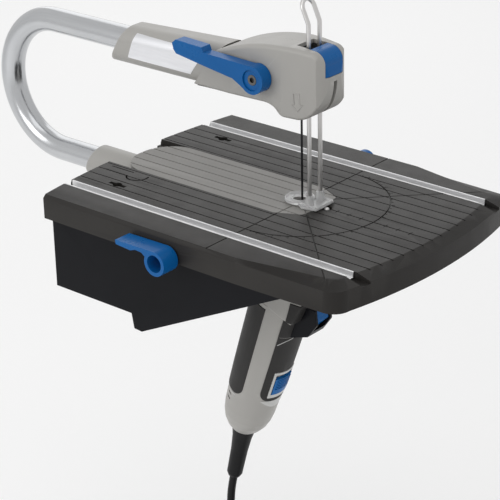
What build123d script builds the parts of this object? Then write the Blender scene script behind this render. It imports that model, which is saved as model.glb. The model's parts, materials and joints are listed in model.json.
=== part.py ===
# Bench scroll saw: a work table that hooks over a bench edge, and a C-shaped saw that drops into it.
# Modelled about the blade: X to the right, Y to the back, Z up, table top at z = 0.
# Every piece is shifted on saving, so that the origin lies at the centre of the bench face.
from build123d import *
from math import cos, hypot, pi, radians, sin, tan
import os

os.makedirs("parts", exist_ok=True)

# ---- driving dimensions, millimetres and degrees ----
table_half = 100.0          # half width of the table at its back
table_front_half = 98.0     # half width at the front corners
table_back = 149.0          # back corners of the table
table_back_bow = 8.0        # how far the back edge bows out
table_front = 116.0         # front of the rim at its middle
front_bow = 10.0            # how far the front edge bows out
corner_cut = 12.0           # size of the rounded front corners
rim_height = 18.0
bevel_drop = 3.0
plate_thickness = 5.0
rim_wall = 3.0
groove_pitch = 10.0
groove_width = 0.9
groove_depth = 0.7
protractor_radius = 60.0
rail_inner = 69.0           # inner face of the aluminium channel
rail_width = 8.5
rail_depth = 4.6
rail_wall = 1.0
rail_front = -96.6
gap = 0.3                   # clearance between pieces that move past each other
seat_gap = 0.1              # clearance under the saw's plate

bench_drop = 72.0           # bench face below the table top
bench_centre = 112.0        # middle of the bench face, behind the blade
skirt_half = 93.0           # outer faces of the side walls
skirt_wall = 3.0
skirt_back = 148.5
lip_back = 76.0             # the lip that hooks over the bench edge
lip_depth = 11.0
skirt_front = -64.0
boss_x = 86.0               # screw bosses inside the side walls
bench_hole_radius = 2.75
bench_hole_x = 75.0
bench_hole_y = 20.0

plate_half = 27.2           # half width of the saw's own plate
plate_back = 149.0
plate_straight = 3.0        # where the plate starts to taper to its nose
plate_nose = 16.5
plate_taper = 0.69          # width of the nose as a share of the plate's
nose_bow = 2.0              # how far the nose bows out
pin_room = 3.6              # radius of the hole round the index pin
plate_depth = 4.2
ledge = 3.6                 # how far the table's ledge reaches under the plate
blade_hole = 5.0

tube_radius = 9.0
tube_wall = 1.5
tube_low = -16.3            # centre line of the lower straight
tube_high = 84.7            # centre line of the upper straight
tube_bend_y = 230.5         # centre of the half-round bend

lean = 18.5                 # lean of the motor housing
gear_y = 6.0                # centre of the face gear, on the motor's axis
gear_z = -42.0
case_half = 21.5            # half width of the gear case
case_wall = 2.5
case_front = -21.0
case_back = 44.0
barrel_cavity = 17.8        # radius of the motor chamber
bearing_outer = 8.0
bush_outer = 5.5
shaft_radius = 2.5
split = 0.05                # half of the joint line between the two housing halves
grip_depth = 1.8
grip_proud = 0.5
front_grip_angle = 46.5     # half angle of the front grip
rear_grip_angle = 96.0      # half angle of the rear grip
grip_corner = 8.0           # rounding of the grips' lower corners
window_angle = 30.0         # half angle of the switch bezel
window_top = 91.0           # its ends along the motor's axis
window_end = 115.5
slide_length = 15.0
slide_travel = 3.5

pinion_teeth = 8
gear_teeth = 32
tooth_module = 0.75
eccentric = 4.0             # half of the blade's stroke
pin_radius = 1.5
plunger_radius = 2.35
running = 0.05              # radial clearance of a running fit
blade_low = -15.0
blade_width = 0.8           # half the blade's depth from teeth to back
blade_top = 72.5

head_half = 18.0
top_round = 3.0
low_round = 2.0
head_wall = 2.2
rod_half = 5.8              # half spacing of the guard wire's legs
rod_y = -11.0
rod_radius = 1.5
wire_top = 143.5
button_half = 9.0
button_travel = 2.5

pivot_y = 20.0              # tension lever's pivot
pivot_z = 89.5
pivot_boss = 9.7
lever_face = 28.0           # outer face of the tension lever, left of the middle plane
lock_y = 31.5               # base lock lever's axis
lock_z = -14.5
lock_boss = 8.7
lock_bore = 6.1
lock_shaft = 4.0
lock_in = table_half + 1.3
lock_out = table_half + 15.0

cord_radius = 3.0
coil_radius = 36.0          # middle of the turns
coil_half = 9.2             # half thickness of the bundle

CORNER = (Align.CENTER, Align.CENTER, Align.MIN)
to_bench = Location((0, -bench_centre, bench_drop))


# ---- helpers ----
def save(name, *solids):
    shape = solids[0] if len(solids) == 1 else Compound(children=list(solids))
    export_step(shape.moved(to_bench), f"parts/{name}.step")


def block(x, y, z):
    """A box between the limits x, y and z, each a pair."""
    size = [high - low for low, high in (x, y, z)]
    middle = [(low + high) / 2 for low, high in (x, y, z)]
    return Pos(*middle) * Box(*size)


def post(radius, low, high, x=0.0, y=0.0):
    return Pos(x, y, low) * Cylinder(radius, high - low, align=CORNER)


def cross_rod(radius, x0, x1, y, z):
    """A cylinder along X."""
    return Location((x0, y, z), (0, 90, 0)) * Cylinder(radius, x1 - x0, align=CORNER)


def long_rod(radius, y0, y1, z, x=0.0):
    """A cylinder along Y."""
    return Location((x, y0, z), (-90, 0, 0)) * Cylinder(radius, y1 - y0, align=CORNER)


def side_plate(points, x0, x1):
    """A plate cut from the outline points (y, z) that lies between two X planes."""
    face = Plane.YZ * make_face(Polyline(*points, close=True))
    return Pos(x0, 0, 0) * extrude(face, x1 - x0, dir=(1, 0, 0))


def mirrored(shape):
    return shape.mirror(Plane.YZ)


slope = radians(lean)
spine = Plane(origin=(0, gear_y, gear_z), x_dir=(1, 0, 0), z_dir=(0, sin(slope), -cos(slope)))


def on_spine(shape):
    """Places a shape built along Z on the motor's axis; its +Y faces the front."""
    return spine.location * shape


def spun(points, angle=360.0, start=0.0):
    """Turns the outline points (radius, distance) about the Z axis."""
    face = Plane.XZ * make_face(Polyline(*points, close=True))
    return Rot(0, 0, start) * revolve(face, Axis.Z, angle)


def ring(inner, outer, low, high):
    return spun([(inner, low), (outer, low), (outer, high), (inner, high)])


# ---- the table ----
def rim_outline(half, front_half, back, bow, shoulder, front, cut, z):
    """The closed outline of the table: bowed back and front, straight sides, rounded front corners."""
    side = -(front - front_bow - cut)
    corner = (front_half - cut, -(front - front_bow))
    lines = [ThreePointArc((-half, back), (0, back + bow), (half, back)),
             Line((half, back), (half, shoulder)),
             Line((half, shoulder), (front_half, side))]
    turn = (front_half - cut * 0.29, side - cut * 0.71)
    lines.append(ThreePointArc((front_half, side), turn, corner))
    lines.append(ThreePointArc(corner, (0, -front), (-corner[0], corner[1])))
    lines.append(ThreePointArc((-corner[0], corner[1]), (-turn[0], turn[1]), (-front_half, side)))
    lines.append(Line((-front_half, side), (-half, shoulder)))
    lines.append(Line((-half, shoulder), (-half, back)))
    return Pos(0, 0, z) * make_face(lines)


def saw_outline(half, nose, back, round_back):
    """Plan of the saw's plate: parallel sides, a tapered nose, and a round or an open back."""
    tip = (half * plate_taper, nose_bow - nose)
    lines = [Line((half, plate_straight), tip),
             ThreePointArc(tip, (0, -nose), (-tip[0], tip[1])),
             Line((-tip[0], tip[1]), (-half, plate_straight))]
    start = back - 22.0 if round_back else back
    lines.append(Line((-half, plate_straight), (-half, start)))
    if round_back:
        lines.append(ThreePointArc((-half, start), (-half * 0.66, back - 5.6), (0, back)))
        lines.append(ThreePointArc((0, back), (half * 0.66, back - 5.6), (half, start)))
    else:
        lines.append(Line((-half, start), (half, start)))
    lines.append(Line((half, start), (half, plate_straight)))
    return make_face(lines)


def grooves():
    """The scale cut in the top: lengthwise lines, a half-round protractor and its spokes."""
    deep = (-groove_depth, 1.0)
    thin = groove_width / 2
    cuts = []
    for n in range(-6, 7):
        x = n * groove_pitch
        cuts.append(block((x - thin, x + thin), (-table_front, table_back + table_back_bow), deep))
    cuts.append(block((-table_half, table_half), (-thin, thin), deep))
    for n in range(3, 10):
        cuts.append(block((-2.5, 2.5), (-n * groove_pitch - 0.3, -n * groove_pitch + 0.3), deep))
    for side in (-1, 1):
        spoke = block((-thin, thin), (-130.0, -4.0), deep)
        cuts.append(Rot(0, 0, side * 45) * spoke)
    arc = post(protractor_radius + thin, *deep) - post(protractor_radius - thin, *deep)
    cuts.append(arc & block((-70, 70), (-70, 0), deep))
    for n in range(-17, 18):
        reach = 3.2 if n % 2 == 0 else 1.8
        tick = block((-0.3, 0.3), (-protractor_radius - reach, -protractor_radius), deep)
        cuts.append(Rot(0, 0, n * 5) * tick)
    return cuts


scale_cuts = grooves()
pin_y = -(plate_nose + 0.4 + 0.6 + pin_room)


def make_table():
    rim = rim_outline(table_half, table_front_half, table_back, table_back_bow, -25.0, table_front,
                      corner_cut, -bevel_drop)
    top = rim_outline(table_half - 1.5, table_front_half - 11.0, table_back - 1.0, table_back_bow,
                      -25.0, table_front - 9.5, corner_cut * 0.7, 0)
    body = extrude(rim, rim_height - bevel_drop, dir=(0, 0, -1)) + loft([rim, top])
    pocket = rim_outline(table_half - rim_wall, table_front_half - rim_wall, table_back - rim_wall,
                         table_back_bow, -25.0, table_front - rim_wall, corner_cut, -plate_thickness)
    pocket = extrude(pocket, rim_height, dir=(0, 0, -1))
    frame_y = (-plate_nose - 8.0, table_back)
    pocket -= block((-31.0, 31.0), frame_y, (-8.4, 0))
    for side in (-1, 1):
        middle = side * (rail_inner + rail_width / 2)
        pocket -= block((middle - 7.5, middle + 7.5), (-table_front, table_back), (-8.0, 0))
    body -= pocket
    open_half = plate_half + 0.4
    body -= Pos(0, 0, -plate_depth - seat_gap) * extrude(
        saw_outline(open_half, plate_nose + 0.4, 180.0, False), 20)
    body -= Pos(0, 0, -30) * extrude(saw_outline(open_half - ledge, plate_nose - ledge, 180.0, False), 40)
    body -= cross_rod(lock_shaft + gap, -table_half - 1, table_half + 1, lock_y, lock_z)
    for side in (-1, 1):
        inner = side * (rail_inner - 0.1)
        outer = side * (rail_inner + rail_width + 0.1)
        body -= block(sorted((inner, outer)), (-130, 170), (-rail_depth - 0.1, 5))
        body -= post(3.4, -20, 5, side * 56.0, 120.0)
        body -= block((side * 56.0 - 1.6, side * 56.0 + 1.6), (112.5, 127.5), (-20, 5))
    body -= post(pin_room, -2.6, 5, 0, pin_y)
    tab_x, tab_y, tab_radius = -36.0, 119.6, 8.0
    cut = post(tab_radius + 0.6, -20, 5, tab_x, tab_y) - post(tab_radius - 0.6, -20, 5, tab_x, tab_y)
    cut -= block((tab_x - 3.2, tab_x + 3.2), (tab_y, tab_y + 20), (-21, 6))
    body -= cut & block((-60, -32.4), (90, 140), (-9, 6))
    for x in (tab_x - 3.8, tab_x + 3.2):
        body -= block((x - 0.5, x + 0.5), (tab_y + tab_radius - 1.2, 147.5), (-20, 5))
    return body - scale_cuts


def make_rail(side):
    outer = block((rail_inner, rail_inner + rail_width), (rail_front, table_back + 1.5),
                  (-rail_depth, 0.3))
    inner = block((rail_inner + rail_wall, rail_inner + rail_width - rail_wall),
                  (rail_front - 1, table_back + 5), (-rail_depth + rail_wall, 5))
    channel = outer - inner
    return channel if side > 0 else mirrored(channel)


table_top = make_table()
save("table_top", table_top)
save("guide_rails", make_rail(-1), make_rail(1))
pin = post(1.9, -2.6, -1.2, 0, pin_y) + Pos(0, pin_y, -1.2) * Sphere(1.9)
save("index_pin", pin & block((-5, 5), (pin_y - 5, pin_y + 5), (-2.6, 5)))


# ---- the skirt under the table ----
def make_skirt():
    low = -bench_drop
    lip = [(lip_back, low), (lip_back - 2.0, low - lip_depth), (lip_back - 9.0, low - lip_depth - 0.5)]
    inset = table_back - rim_wall - 0.2
    side = [(inset, -plate_thickness), (inset, -rim_height - 0.1), (skirt_back, -rim_height - 0.1),
            (skirt_back, low)] + lip
    side += [(skirt_front, -rim_height), (skirt_front, -plate_thickness)]
    walls = side_plate(side, skirt_half - skirt_wall, skirt_half)
    inside = [(skirt_back - skirt_wall, -plate_thickness), (skirt_back - skirt_wall, low + skirt_wall),
              (lip_back - 12.0, low + skirt_wall), (-50.0, -24.0), (-50.0, -plate_thickness)]
    walls += side_plate(inside, 33.0, 36.0)
    inner = skirt_half - skirt_wall
    skirt = walls + mirrored(walls)
    skirt += block((-inner, inner), (lip_back, skirt_back), (low, low + skirt_wall))
    lip_bar = lip + [(lip_back - 14.0, low - 4.0), (lip_back - 11.0, low + skirt_wall),
                     (lip_back, low + skirt_wall)]
    skirt += side_plate(lip_bar, -inner, inner)
    skirt += block((-inner, inner), (skirt_back - skirt_wall, skirt_back), (low, -36.0))
    skirt += block((-inner, inner), (skirt_front, skirt_front + skirt_wall),
                   (-rim_height, -plate_thickness - 3.4))
    for s in (-1, 1):
        skirt += block(sorted((s * 33.0, s * inner)), (skirt_back - skirt_wall, skirt_back),
                       (-37.0, -rim_height - 0.1))
        for y in (-40.0, 60.0, 130.0):
            skirt += post(4.5, -26.0 if y < 0 else -45.0, -plate_thickness, s * boss_x, y)
            skirt -= post(1.6, -60.0, -plate_thickness + 1, s * boss_x, y)
        skirt -= cross_rod(lock_shaft + running, *sorted((s * 30.0, s * 95.0)), lock_y, lock_z)
        for y in (-bench_hole_y, bench_hole_y):
            skirt -= post(bench_hole_radius, low - 1, low + 10, s * bench_hole_x, bench_centre + y)
        skirt -= block(sorted((s * 40.0, s * 62.0)), (84.0, 140.0), (low - 1, low + 1.5))
    return skirt


save("base_skirt", make_skirt())
pads = [block(sorted((s * 40.2, s * 61.8)), (84.2, 139.8), (-bench_drop, -bench_drop + 1.5)) for s in (-1, 1)]
save("bench_pads", *pads)


def screw(length, shank, head, head_height):
    """A pan-head screw whose head sits below z = 0 and whose shank points up."""
    body = post(shank, 0, length) + post(head, -head_height, 0)
    socket = extrude(RegularPolygon(head * 0.5, 6), head_height * 0.6)
    return body - Pos(0, 0, -head_height) * socket


base_screws = []
for s in (-1, 1):
    for y in (-40.0, 60.0, 130.0):
        foot_z = -26.0 if y < 0 else -45.0
        base_screws.append(Pos(s * boss_x, y, foot_z) * screw(-foot_z - plate_thickness, 1.5, 3.0, 2.2))
save("base_screws", *base_screws)


# ---- the lock levers ----
def make_lock_lever():
    """Built for the left side: a hollow boss with a flat paddle to the back."""
    boss = cross_rod(lock_boss, -lock_out, -lock_in, lock_y, lock_z)
    top = lock_z + lock_boss
    paddle = [(lock_y - 1.0, top), (lock_y + 34.5, top - 0.6), (lock_y + 34.0, top - 3.6),
              (lock_y + 21.0, top - 4.6), (lock_y + 16.5, top - 3.0), (lock_y + 11.0, top - 3.4),
              (lock_y + 7.0, top - 6.4), (lock_y, top - 6.0)]
    lever = boss + side_plate(paddle, -lock_out, -lock_in)
    lever -= cross_rod(lock_bore, -lock_out - 1, -lock_in - 3.0, lock_y, lock_z)
    return lever - cross_rod(lock_shaft, -lock_in - 4.0, -lock_in + 1, lock_y, lock_z)


def make_lock_shaft():
    """The cross shaft with the eccentric that bears on the saw's rib."""
    inner = case_half + gap
    shaft = cross_rod(lock_shaft, -lock_in - 3.0, -inner, lock_y, lock_z)
    return shaft + cross_rod(5.0, -inner - 3.5, -inner, lock_y + 1.2, lock_z)


hang = Axis((0, lock_y, lock_z), (1, 0, 0))
lever = make_lock_lever()
shaft = make_lock_shaft()
save("lock_lever_left", lever)
save("lock_shaft_left", shaft)
save("lock_lever_right", mirrored(lever).rotate(hang, -90))
save("lock_shaft_right", mirrored(shaft).rotate(hang, -90))


# ---- the saw's plate, lower arm and housing ----
plate = Pos(0, 0, -plate_depth) * extrude(saw_outline(plate_half, plate_nose, plate_back, True), plate_depth)
plate -= post(blade_hole, -10, 5)
save("insert_plate", plate - scale_cuts)

barrel = [(0, 35.0), (21.8, 35.0), (21.7, 42.0), (21.4, 57.0), (20.9, 80.0), (20.4, 100.0), (19.8, 118.0),
          (19.3, 130.0), (18.9, 139.0), (18.0, 146.0), (16.2, 152.0), (13.2, 157.5), (9.8, 161.5), (0, 161.5)]
barrel_end = barrel[-1][1]


def barrel_radius(distance):
    """Outer radius of the motor housing at a distance along its axis."""
    for (r0, s0), (r1, s1) in zip(barrel[1:-2], barrel[2:-1]):
        if s0 <= distance <= s1:
            return r0 + (r1 - r0) * (distance - s0) / max(s1 - s0, 1e-6)
    return barrel[1][0]


def skin(half_angle, low, high, facing, depth, proud):
    """A curved plate that follows the barrel between two angles and two distances."""
    steps = [low + (high - low) * n / 6 for n in range(7)]
    inner = [(barrel_radius(s) - depth, s) for s in steps]
    outer = [(barrel_radius(s) + proud, s) for s in reversed(steps)]
    return spun(inner + outer, 2 * half_angle, facing - half_angle)


def make_grip(half_angle, low, high, facing):
    """A soft skin let into the barrel, with rounded lower corners."""
    grip = skin(half_angle, low, high, facing, grip_depth, grip_proud)
    corners = grip.edges().filter_by(lambda e: abs(e.center().Z - high) < 0.01
                                     and e.length < grip_depth + grip_proud + 0.1)
    return on_spine(fillet(corners, grip_corner))


front_recess = make_grip(front_grip_angle, 58.0, 119.0, 90.0)
front_grip = front_recess - on_spine(
    skin(window_angle + 0.4, window_top - 0.2, window_end + 0.2, 90.0, grip_depth + 1, grip_proud + 1))
rear_grip = make_grip(rear_grip_angle, 38.0, 122.0, 270.0)
opening_angle = window_angle - 5.0
opening = (window_top + 2.2, window_end - 3.1)
slide_end = opening[1] - gap
slide_start = slide_end - slide_length
stem = (slide_start + 5.0, slide_start + 8.5)
stem_slot = block((-1.9, 1.9), (14.0, 30.0), (stem[0] - slide_travel - gap, stem[1] + gap))
case_roof = -9.2            # roof of the gear case in front of the blade, under the table's ledge
case_step = 3.0
case_outline = [(case_step, -plate_depth), (case_step, case_roof), (case_front, case_roof),
                (case_front, -50.0), (-4.0, -86.0), (34.0, -73.0), (case_back, -36.0),
                (case_back, -plate_depth)]
case_inside = [(case_step + case_wall, -plate_depth - 2.0), (case_step + case_wall, case_roof - case_wall),
               (case_front + case_wall, case_roof - case_wall), (case_front + case_wall, -49.0),
               (-2.0, -76.0), (32.0, -64.0), (case_back - case_wall, -35.0),
               (case_back - case_wall, -plate_depth - 2.0)]
vent_places = (126.0, 130.6)
strain_start = (0, 55.6, -190.5)
strain_end = (0, 68.0, -241.0)


boss_radius = 2.8
case_bosses = ((-7.4, -17.0), (-7.4, -51.5), (37.0, -31.0))
pass_half = plate_half + 0.4 - ledge - 0.5      # what fits down through the table's ledge
pass_nose = plate_nose - ledge - 0.5


def case_face(y):
    """Half width of the gear case at a distance behind the blade."""
    slope_in = pass_half * (1 - plate_taper) / (plate_straight + pass_nose - nose_bow)
    return min(case_half, pass_half - (plate_straight - y + boss_radius) * slope_in)



def case_screw(face, y, z):
    """A screw from the right side; its head lies under the face."""
    return cross_rod(1.3, 5.0 - face, face - 2.6, y, z) + cross_rod(2.6, face - 2.6, face - 0.3, y, z)


def make_housing():
    """Both halves in one, with the chambers cut out."""
    arm = long_rod(11.7, 10.0, 150.0, tube_low) & block((-20, 20), (0, 200), (-40, -plate_depth))
    solid = side_plate(case_outline, -case_half, case_half)
    solid = fillet(solid.edges().filter_by(lambda e: abs(e.center().X) > case_half - 0.1
                                           and e.center().Z < case_roof - 4), 4.0)
    solid &= Pos(0, 0, -100) * extrude(saw_outline(pass_half, pass_nose, 60.0, False), 100)
    rib = block((-pass_half, pass_half), (lock_y + 6.8, case_back), (-30.0, -plate_depth - 4.8))
    solid += arm + rib + on_spine(spun(barrel))
    chamber = side_plate(case_inside, -case_half + case_wall, case_half - case_wall)
    chamber &= Pos(0, 0, -100) * extrude(
        saw_outline(pass_half - case_wall, pass_nose - case_wall, 60.0, False), 100)
    chamber -= block((-30, 30), (-30, 50), (-28.0, -17.4)) & block((-30, 4.6), (case_front, 9.0), (-30, 0))
    solid -= chamber
    solid -= long_rod(tube_radius, 84.0, 151.0, tube_low)
    solid -= on_spine(post(bearing_outer, 28.0, 38.0) + post(barrel_cavity, 37.0, 112.0))
    solid -= on_spine(post(15.4, 112.0, 140.0) + post(11.0, 139.0, 152.0))
    solid += on_spine(ring(bearing_outer, 17.0, 108.0, 114.0))
    solid += cross_rod(8.0, 11.0, case_half - 2.0, gear_y, gear_z)
    solid -= cross_rod(bush_outer, 10.0, case_half - case_wall, gear_y, gear_z)
    solid -= post(plunger_radius + 2.0, -28.0, -17.3)
    solid -= post(7.0, -17.4, 1.0)
    for y, z in case_bosses:
        face = case_face(y)
        solid += cross_rod(boss_radius, 1 - face, face - 1, y, z)
        solid -= case_screw(face, y, z) + cross_rod(2.6, face - 1, face + 4, y, z)
    solid -= front_recess + rear_grip
    solid -= on_spine(stem_slot)
    for angle in (-120, 120):
        for at in vent_places:
            solid -= on_spine(Rot(0, 0, angle) * block((-2.6, 2.6), (12.0, 25.0), (at, at + 1.3)))
    return solid


housing = make_housing()
for name, side in (("housing_left", -1), ("housing_right", 1)):
    half = block(sorted((side * split, side * 60.0)), (-60, 200), (-260, 20))
    save(name, housing & half)
save("front_grip", front_grip)
save("rear_grip", rear_grip)


# ---- power switch ----
bezel = skin(window_angle, window_top, window_end, 90.0, grip_depth - 0.1, grip_proud + 0.4)
bezel -= skin(opening_angle, *opening, 90.0, grip_depth + 1, grip_proud + 2)
save("switch_bezel", on_spine(bezel))
knob = skin(opening_angle - 1.4, slide_start, slide_end, 90.0, grip_depth - 0.4, grip_proud + 0.7)
knob += block((-1.5, 1.5), (15.6, barrel_radius(slide_start) - 1.0), stem)
for n in range(6):
    rib = slide_start + 1.6 + n * 1.7
    knob += skin(19.0, rib - 0.35, rib + 0.35, 90.0, 0, grip_proud + 1.1)
save("power_slide", on_spine(knob))
save("switch_module", on_spine(block((-6.0, 6.0), (9.9, 15.2), (96.5, 107.5))))

# ---- blade release ----
guard = [(20.0, 26.0), (33.0, 24.0), (37.5, 34.0), (33.5, 47.0), (20.0, 57.0)]
guard_inside = [(15.0, 20.0), (33.0, 20.0), (42.0, 34.0), (31.0, 46.0), (15.0, 47.0)]
bracket = side_plate(guard, -9.0, 9.0) - side_plate(guard_inside, -6.5, 6.5)
case_solid = side_plate(case_outline, -case_half, case_half) + on_spine(spun(barrel))
save("release_bracket", on_spine(bracket) - case_solid - front_grip)
tab = [(26.5, 27.5), (31.5, 25.5), (36.0, 33.0), (31.0, 43.5), (27.0, 41.0)]
save("release_lever", on_spine(side_plate(tab, -6.1, 6.1) + cross_rod(1.5, -6.1, 6.1, 27.0, 27.0)))

# ---- motor ----
shaft = ring(0, 1.6, 10.0, 29.0) + ring(0, shaft_radius, 29.0, 115.0)
save("armature_shaft", on_spine(shaft))
tooth = Plane.XY * make_face(Polyline((1.9, -0.6), (3.75, -0.3), (3.75, 0.3), (1.9, 0.6), close=True))
mesh_radius = tooth_module * gear_teeth / 2
pinion = post(2.3, mesh_radius - 1.3, mesh_radius + 1.3)
for n in range(pinion_teeth):
    turn = Rot(0, 0, (n + 0.5) * 360 / pinion_teeth)
    pinion += Pos(0, 0, mesh_radius - 1.3) * extrude(turn * tooth, 2.6)
save("pinion", on_spine(pinion - post(1.6, 0, 40)))
laminations = ring(shaft_radius, 11.0, 53.0, 88.0)
for n in range(12):
    laminations -= Rot(0, 0, n * 30) * block((8.6, 11.5), (-0.7, 0.7), (50, 90))
windings = ring(shaft_radius, 9.6, 48.5, 53.0) + ring(shaft_radius, 9.6, 88.0, 93.0)
save("armature_core", on_spine(laminations + windings))
save("commutator", on_spine(ring(shaft_radius, 7.0, 96.0, 106.0)))
fan = ring(shaft_radius, 5.0, 40.0, 47.0) + ring(4.0, 15.0, 40.0, 41.0)
for n in range(9):
    fan += Rot(0, 0, n * 40) * block((4.5, 14.5), (-0.6, 0.6), (40.5, 47.0))
save("cooling_fan", on_spine(fan))
bearings = [on_spine(ring(shaft_radius, bearing_outer, low, low + 5.0)) for low in (30.5, 108.5)]
save("armature_bearings", *bearings)


def make_coil(start):
    """A field coil: a curved frame whose sides lie in the stator's slots."""
    coil = spun([(13.5, 49.5), (16.5, 49.5), (16.5, 91.5), (13.5, 91.5)], 100, start)
    return coil - spun([(13.0, 55.5), (17.0, 55.5), (17.0, 85.5), (13.0, 85.5)], 70, start + 15)


coils = [make_coil(start) for start in (-50, 130)]
stator = ring(11.6, barrel_cavity, 56.0, 85.0)
for coil in coils:
    stator -= coil
save("stator_core", on_spine(stator))
save("field_coils", *[on_spine(coil) for coil in coils])
holders = []
brushes = []
for n in range(2):
    turn = Rot(0, 0, n * 180)
    box = block((8.6, 17.0), (-3.4, 3.4), (98.2, 104.2)) - block((8.0, 15.6), (-2.0, 2.0), (99.4, 103.0))
    holders.append(on_spine(turn * box))
    brushes.append(on_spine(turn * block((7.1, 14.0), (-2.0, 2.0), (99.4, 103.0))))
save("brush_holders", *holders)
save("carbon_brushes", *brushes)

# ---- gear and plunger ----
disc_face = 4.0
gear = cross_rod(mesh_radius + 1.2, disc_face, disc_face + 3.0, gear_y, gear_z)
gear += cross_rod(3.0, disc_face + 2.0, case_half - case_wall - 0.5, gear_y, gear_z)
gear += cross_rod(pin_radius, 2.3, disc_face + 1, gear_y, gear_z - eccentric)
down = Location((0, gear_y, gear_z), (lean, 0, 0))
for n in range(gear_teeth):
    spoke = block((2.45, disc_face + 0.5), (-0.35, 0.35), (-mesh_radius - 1.2, -mesh_radius + 1.0))
    gear += down * (Rot(n * 360 / gear_teeth, 0, 0) * spoke)
save("face_gear", gear)
bush = cross_rod(bush_outer, 11.0, case_half - case_wall, gear_y, gear_z)
save("gear_bush", bush - cross_rod(3.0 + running, 0, 30, gear_y, gear_z))

pin_z = gear_z - eccentric
yoke = block((-2.0, 2.0), (-3.5, gear_y + 7.2), (pin_z - 3.6, pin_z + 3.6))
yoke -= block((-3, 3), (gear_y - 5.8, gear_y + 5.8), (pin_z - 1.8, pin_z + 1.8))
save("plunger_yoke", yoke + post(plunger_radius, pin_z + 3.0, -17.0))
guide = post(plunger_radius + 2.0, -28.0, -17.4) - post(plunger_radius + running, -30, 0)
save("plunger_guide", guide)
clamp_low = -17.0
slot = (-0.25, 0.25), (-blade_width - running, blade_width + running)
low_clamp = post(4.5, clamp_low, clamp_low + 8.0) - block(*slot, (blade_low, 0))
up_clamp = post(4.5, blade_top - 5.0, blade_top + 2.0) - block(*slot, (0, blade_top))
low_screw = cross_rod(1.2, -5.0, -0.25, 0, clamp_low + 5.0)
up_screw = cross_rod(1.2, -5.0, -0.25, 0, blade_top - 2.0)
save("lower_blade_clamp", low_clamp - low_screw)
spindle_top = 102.0
up_clamp += post(2.5, blade_top + 1.0, spindle_top) + post(4.6, spindle_top - 2.0, spindle_top)
save("upper_blade_clamp", up_clamp - up_screw)
save("blade_clamp_screws", low_screw & block((-4.4, 0), (-9, 9), (-90, 90)),
     up_screw & block((-4.4, 0), (-9, 9), (-90, 90)))
save("blade", block((-0.22, 0.22), (-blade_width, blade_width), (blade_low, blade_top)))

# ---- head ----
seat_low = 85.0
seat_top = 90.0


def head_block():
    """The head and the front of the upper arm as one solid."""
    side = [ThreePointArc((60, 99.5), (22, 111.4), (-18, 112.6)),
            ThreePointArc((-18, 112.6), (-25.2, 109.8), (-27.6, 103)),
            ThreePointArc((-27.6, 103), (-28.6, 90), (-25.5, 77)),
            ThreePointArc((-25.5, 77), (-19, 68.8), (-9, 64.8)),
            Line((-9, 64.8), (2, 64.8)),
            ThreePointArc((2, 64.8), (8, 69.4), (20, 72)),
            Line((20, 72), (82, 70.6)),
            Line((82, 70.6), (60, 99.5))]
    solid = Pos(-30, 0, 0) * extrude(Plane.YZ * make_face(side), 60, dir=(1, 0, 0))
    plan = [Line((-15.4, 90), (-head_half, 48)), Line((-head_half, 48), (-head_half, 2)),
            Line((-head_half, 2), (-15.0, -24)),
            ThreePointArc((-15.0, -24), (0, -29.4), (15.0, -24)),
            Line((15.0, -24), (head_half, 2)), Line((head_half, 2), (head_half, 48)),
            Line((head_half, 48), (15.4, 90)), Line((15.4, 90), (-15.4, 90))]
    return solid & (Pos(0, 0, 50) * extrude(make_face(plan), 80))


def head_cavity():
    inner = [(56, 97.0), (40, 105.2), (22, 109.2), (0, 110.9), (-18, 110.2), (-23.5, 107.4), (-25.2, 100),
             (-26, 90), (-23.4, 78.5), (-17.5, 71.5), (-9, 67.2), (2, 67.2), (8, 72.4), (20, 74.4), (77, 73.0)]
    plan = [(-12.6, 84), (-head_half + head_wall, 48), (-head_half + head_wall, 2), (-12.9, -22.5),
            (0, -26.8), (12.9, -22.5), (head_half - head_wall, 2), (head_half - head_wall, 48), (12.6, 84)]
    room = extrude(make_face(Polyline(*plan, close=True)), 80)
    return side_plate(inner, -30, 30) & (Pos(0, 0, 50) * room)


def rounded_head():
    solid = head_block()
    tops = solid.edges().filter_by(lambda e: abs(e.center().X) > 10 and e.center().Z > 98 and e.length > 6)
    solid = fillet(tops, top_round)
    lows = solid.edges().filter_by(lambda e: abs(e.center().X) > 10 and e.center().Z < 80 and e.length > 3)
    return fillet(lows, low_round)


head_solid = rounded_head()
button_zone = block((-button_half, button_half), (-40, -15.2), (96.0, 130))
button_window = block((-button_half - gap, button_half + gap), (-40, -15.2 + button_travel + 0.4),
                      (96.0 - gap, 130))
button = head_solid & button_zone
button -= block((-button_half + 2, button_half - 2), (-24.5, -10), (90, 108.5))
save("nose_button", button)

seat_block = block((-12.0, 12.0), (-6.5, 10.0), (seat_low, seat_top))
tab_low = pivot_z + 7.7
seat_arm = block((-5.0, 5.0), (8.0, 10.0), (seat_low, tab_low + 2.8))
seat_arm += block((-5.0, 5.0), (8.0, pivot_y + 7.0), (tab_low, tab_low + 2.8))
save("tension_seat", seat_block + seat_arm - post(2.5 + running, 0, 200))
spring_path = Pos(0, 0, seat_top + 0.6) * Helix(pitch=1.75, height=8.8, radius=3.6)
coil_wire = sweep(Plane(origin=spring_path @ 0, z_dir=spring_path % 0) * Circle(0.45), path=spring_path)
save("tension_spring", coil_wire)

cam = cross_rod(5.5, -6.0, 6.0, pivot_y, pivot_z + 1.7) + cross_rod(3.0, -19.0, 6.0, pivot_y, pivot_z)
save("tension_cam", cam)


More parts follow.
